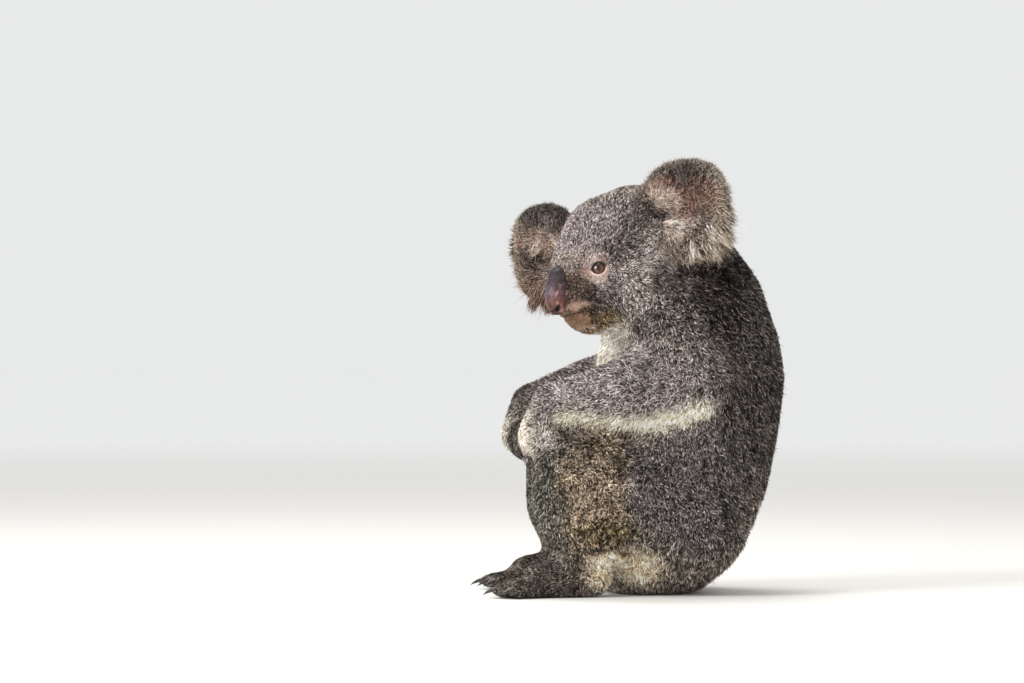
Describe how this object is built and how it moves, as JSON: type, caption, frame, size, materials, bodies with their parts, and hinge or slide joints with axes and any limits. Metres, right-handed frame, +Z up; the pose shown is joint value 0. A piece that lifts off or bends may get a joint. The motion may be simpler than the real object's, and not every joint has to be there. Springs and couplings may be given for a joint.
{
  "type": "koala figure",
  "caption": "Life-size still figure of a seated koala, paws resting over its drawn-up knees and its head turned to its left; a museum or diorama model.",
  "frame": {"origin": "middle of the bounding box, on the floor under the seated animal", "axes": "+Z up; -Y the way the body faces; +X the animal's left, the side that the head turns to"},
  "size_m": [0.2322, 0.3068, 0.4115],
  "materials": {
    "grey_coat": "dense short fur, grizzled grey",
    "pale_coat": "woolly cream and off-white fur",
    "dark_coat": "thick charcoal-brown fur",
    "nose_skin": "bare pebbled skin, mauve-brown",
    "brown_eye": "wet brown eye with an upright slit pupil",
    "horn": "dark horn claw"
  },
  "bodies": {
    "root": {"belly": "grey_coat", "chest": "pale_coat", "claw_finger_1_left": "horn", "claw_finger_1_right": "horn", "claw_finger_2_left": "horn", "claw_finger_2_right": "horn", "claw_finger_3_left": "horn", "claw_finger_3_right": "horn", "claw_finger_4_left": "horn", "claw_finger_4_right": "horn", "claw_finger_5_left": "horn", "claw_finger_5_right": "horn", "claw_toe_2_left": "horn", "claw_toe_2_right": "horn", "claw_toe_3_left": "horn", "claw_toe_3_right": "horn", "claw_toe_4_left": "horn", "claw_toe_4_right": "horn", "claw_toe_5_left": "horn", "claw_toe_5_right": "horn", "ear_left": "grey_coat", "ear_right": "grey_coat", "eye_left": "brown_eye", "eye_right": "brown_eye", "foot_left": "grey_coat", "foot_right": "grey_coat", "forearm_left": "grey_coat", "forearm_right": "grey_coat", "hand_left": "pale_coat", "hand_right": "pale_coat", "head": "grey_coat", "jaw": "pale_coat", "neck": "dark_coat", "nose": "nose_skin", "rump": "pale_coat", "shin_left": "grey_coat", "shin_right": "grey_coat", "thigh_left": "pale_coat", "thigh_right": "pale_coat", "upper_arm_left": "grey_coat", "upper_arm_right": "grey_coat"}
  },
  "joints": []
}
